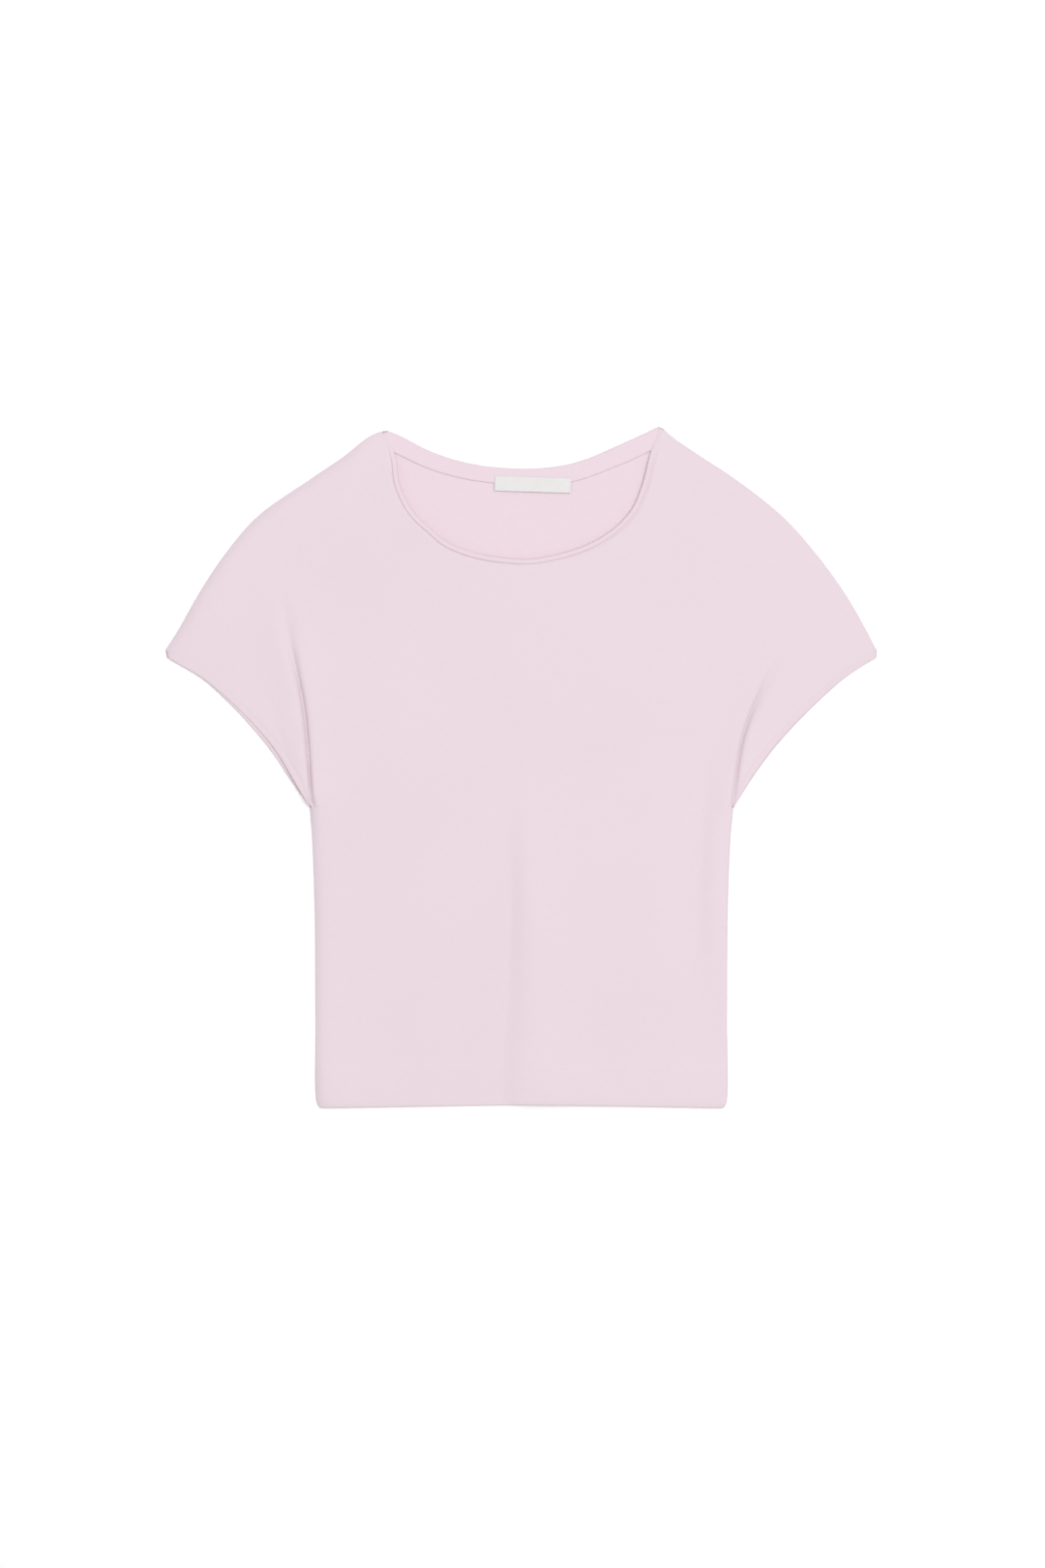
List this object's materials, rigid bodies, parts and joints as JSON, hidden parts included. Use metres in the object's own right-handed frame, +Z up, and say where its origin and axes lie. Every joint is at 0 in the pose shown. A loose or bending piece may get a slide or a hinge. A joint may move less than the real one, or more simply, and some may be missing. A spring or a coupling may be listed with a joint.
{
  "type": "crop top",
  "caption": "Plain jersey crop top with grown-on cap sleeves and a scooped, narrowly bound neck, laid flat on its back.",
  "frame": {"origin": "middle of the lying garment's outline, on the surface it rests on", "axes": "+X to the viewer's right across the sleeves, +Y from the hem to the neck, +Z up out of the front"},
  "size_m": [0.5659, 0.542, 0.006],
  "materials": {
    "jersey": "smooth fine pale pink jersey, matt with a soft sheen",
    "binding_jersey": "the same jersey folded into narrow bindings",
    "inside_jersey": "inner face of the jersey, a little warmer",
    "label_weave": "bare off-white satin tape"
  },
  "bodies": {
    "root": {"back_panel": "inside_jersey", "front_panel": "jersey", "front_neck_binding": "binding_jersey", "back_neck_band": "inside_jersey", "cuff_binding_left": "binding_jersey", "cuff_binding_right": "binding_jersey", "label_blank": "label_weave"}
  },
  "joints": []
}
